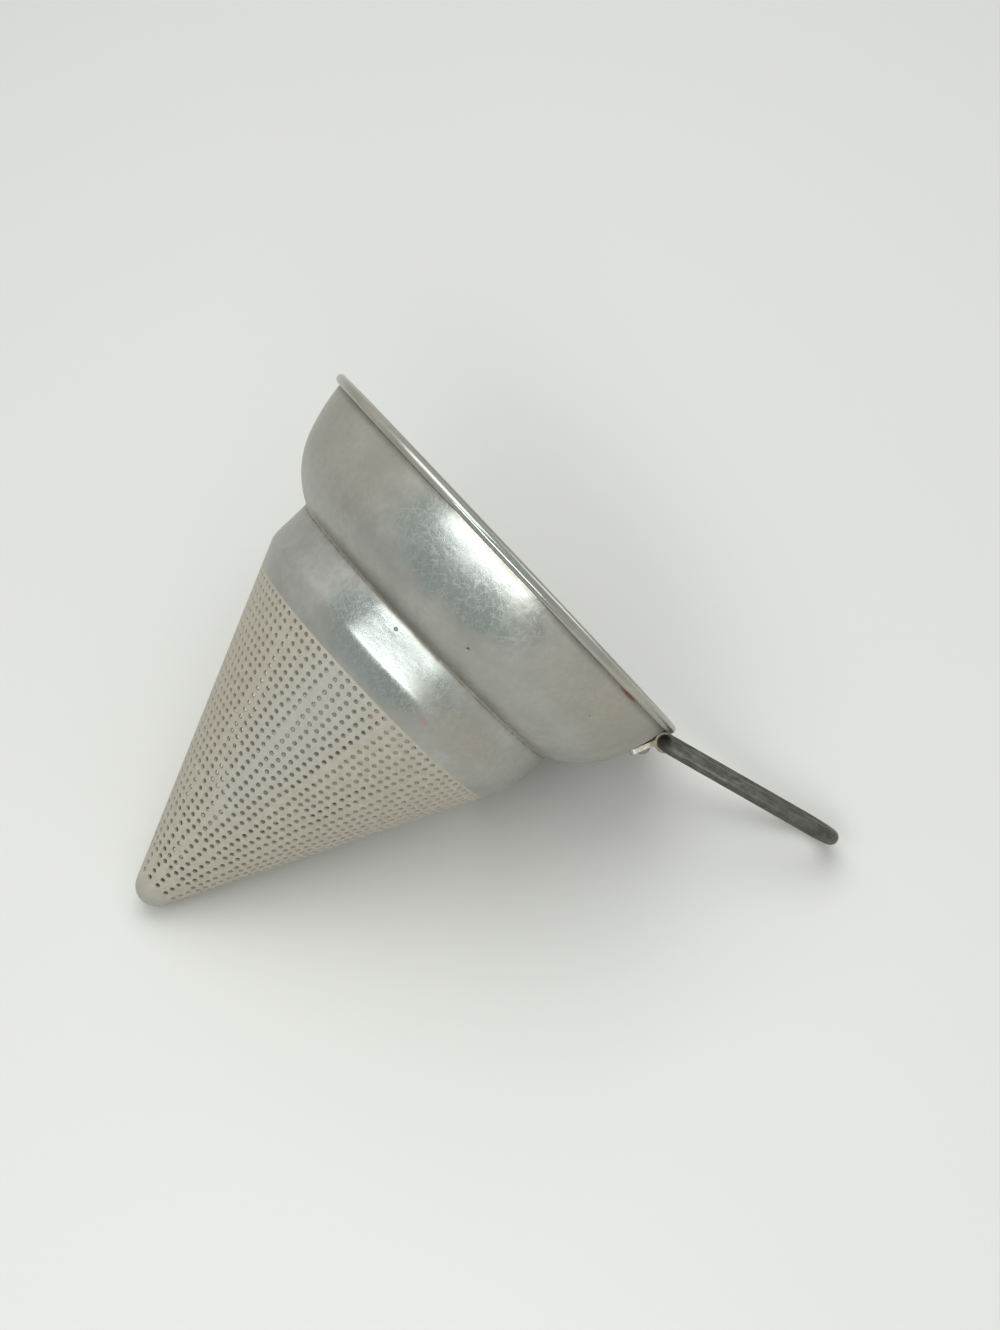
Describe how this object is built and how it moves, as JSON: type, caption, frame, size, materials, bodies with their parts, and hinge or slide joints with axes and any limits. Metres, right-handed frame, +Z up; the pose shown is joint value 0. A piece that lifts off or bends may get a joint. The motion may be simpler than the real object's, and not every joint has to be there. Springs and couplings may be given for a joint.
{
  "type": "conical strainer",
  "caption": "Conical kitchen strainer with a perforated cone under a plain bowl, a wired rim and a riveted steel loop handle, lying on its side.",
  "frame": {"origin": "centre of the round mouth, in the plane of the rim's top", "axes": "+Z up from the table that the strainer lies on, +X the level way that its mouth faces, so its centre line lies in the XZ plane and rises 24.4 degrees towards the mouth; the handle points to -Y and down"},
  "size_m": [0.2452, 0.2476, 0.1797],
  "materials": {
    "shell_aluminium": "spun aluminium, dulled and stained by use, matte on the perforated cone",
    "wire_steel": "plain drawn wire, hidden in the bead",
    "handle_steel": "dark bare steel rod, worn along its upper side",
    "clip_aluminium": "plain strip, worn bright on its edges, with dirt at its joints",
    "rivet_aluminium": "cold-headed, dull"
  },
  "bodies": {
    "root": {"strainer_shell": "shell_aluminium", "rim_wire": "wire_steel", "handle_loop": "handle_steel", "handle_clip": "clip_aluminium", "clip_rivets": "rivet_aluminium"}
  },
  "joints": []
}
